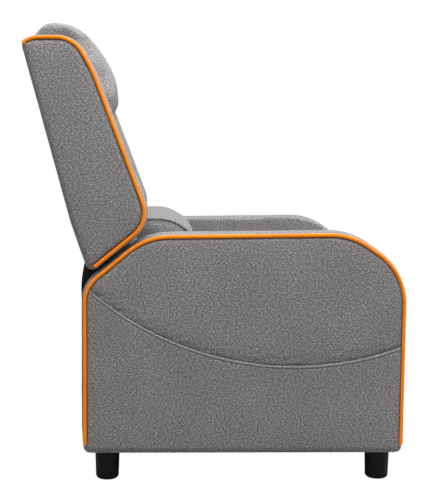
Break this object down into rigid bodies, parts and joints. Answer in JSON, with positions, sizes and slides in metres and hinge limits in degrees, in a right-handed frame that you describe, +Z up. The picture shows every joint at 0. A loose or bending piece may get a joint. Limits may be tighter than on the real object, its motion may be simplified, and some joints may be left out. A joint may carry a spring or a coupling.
{
  "type": "push-back reclining armchair",
  "caption": "Push-back reclining armchair with winged back, lumbar roll, fold-out footrest linkage and piped upholstered arms on round feet.",
  "frame": {"origin": "on the floor, in the middle of the chair's width and depth, with the back upright and the footrest folded down", "axes": "+Z up, +X to the sitter's left, the chair faces -Y"},
  "size_m": [0.66, 0.8067, 0.9886],
  "materials": {
    "grey_fabric": "heathered woven upholstery cloth in mid grey",
    "orange_piping": "bright orange welt cord covered in cloth",
    "black_cloth": "thin black lining cloth",
    "black_plastic": "matt black moulded plastic",
    "steel": "zinc-plated steel",
    "black_steel": "satin black powder coat on steel",
    "timber": "sawn pine and plywood"
  },
  "bodies": {
    "base": {"arm_pad_left": "grey_fabric", "arm_pad_right": "grey_fabric", "arm_frame_left": "timber", "arm_frame_right": "timber", "side_panel_upper_left": "grey_fabric", "side_panel_upper_right": "grey_fabric", "side_panel_lower_left": "grey_fabric", "side_panel_lower_right": "grey_fabric", "arm_piping_left": "orange_piping", "arm_piping_right": "orange_piping", "foot_front_left": "black_plastic", "foot_front_right": "black_plastic", "foot_rear_left": "black_plastic", "foot_rear_right": "black_plastic", "foot_bolts": "steel", "seat_frame": "timber", "seat_springs": "steel", "spring_clips": "steel", "seat_cushion": "grey_fabric", "rear_rail": "timber", "base_stretcher": "timber", "rear_panel": "grey_fabric", "rear_gap_cloth": "black_cloth", "frame_bolts": "steel", "mechanism_plate_left": "black_steel", "mechanism_plate_right": "black_steel", "plate_pivots": "steel"},
    "back": {"back_wing_left": "grey_fabric", "back_wing_right": "grey_fabric", "back_piping_left": "orange_piping", "back_piping_right": "orange_piping", "back_shell": "grey_fabric", "back_frame": "timber", "back_cushion": "grey_fabric", "head_section": "grey_fabric", "lumbar_roll": "grey_fabric", "back_bracket_left": "black_steel", "back_bracket_right": "black_steel", "back_bracket_bolts": "steel", "drive_rod_rivets": "steel"},
    "drive": {"drive_link_left": "black_steel", "drive_link_right": "black_steel", "drive_tube": "black_steel", "drive_link_rivets": "steel"},
    "rear_links": {"rear_link_left": "black_steel", "rear_link_right": "black_steel"},
    "lift_links": {"lift_link_left": "black_steel", "lift_link_right": "black_steel", "lift_link_rivets": "steel"},
    "front_links": {"front_link_left": "black_steel", "front_link_right": "black_steel", "front_link_rivets": "steel"},
    "drive_rods": {"drive_rod_left": "black_steel", "drive_rod_right": "black_steel"},
    "footrest": {"footrest_board": "timber", "footrest_pad": "grey_fabric", "footrest_bracket_left": "black_steel", "footrest_bracket_right": "black_steel", "bracket_screws": "steel", "footrest_rivets": "steel"}
  },
  "joints": [
    {"name": "back_recline", "type": "hinge", "parent": "base", "child": "back", "pos_m": [0, 0.24037, 0.4175], "axis": [-1, 0, 0], "range_deg": [0, 40], "deforming": ["rear_gap_cloth"]},
    {"name": "footrest_drive", "type": "hinge", "parent": "base", "child": "drive", "pos_m": [0, -0.287, 0.3155], "axis": [-1, 0, 0], "range_deg": [0, 94.5]},
    {"name": "rear_link_swing", "type": "hinge", "parent": "base", "child": "rear_links", "pos_m": [0, -0.23062, 0.29498], "axis": [-1, 0, 0], "range_deg": [0, 94.5]},
    {"name": "lift_link_swing", "type": "hinge", "parent": "drive", "child": "lift_links", "pos_m": [0, -0.22212, 0.18248], "axis": [-1, 0, 0], "range_deg": [-94.5, 0]},
    {"name": "front_link_swing", "type": "hinge", "parent": "drive", "child": "front_links", "pos_m": [0, -0.22212, 0.09248], "axis": [-1, 0, 0], "range_deg": [-94.5, 0]},
    {"name": "footrest_tilt", "type": "hinge", "parent": "lift_links", "child": "footrest", "pos_m": [0, -0.3275, 0.3325], "axis": [-1, 0, 0], "range_deg": [0, 94.5]},
    {"name": "drive_rod_swing", "type": "hinge", "parent": "back", "child": "drive_rods", "pos_m": [0, 0.26089, 0.36112], "axis": [-1, 0, 0], "range_deg": [-41, 0]}
  ],
  "couplings": [
    {"joint": "footrest_drive", "follows": "back_recline", "ratio": 2.35},
    {"joint": "rear_link_swing", "follows": "back_recline", "ratio": 2.35},
    {"joint": "lift_link_swing", "follows": "back_recline", "ratio": -2.35},
    {"joint": "front_link_swing", "follows": "back_recline", "ratio": -2.35},
    {"joint": "footrest_tilt", "follows": "back_recline", "ratio": 2.35},
    {"joint": "drive_rod_swing", "follows": "back_recline", "ratio": -1.0156}
  ]
}
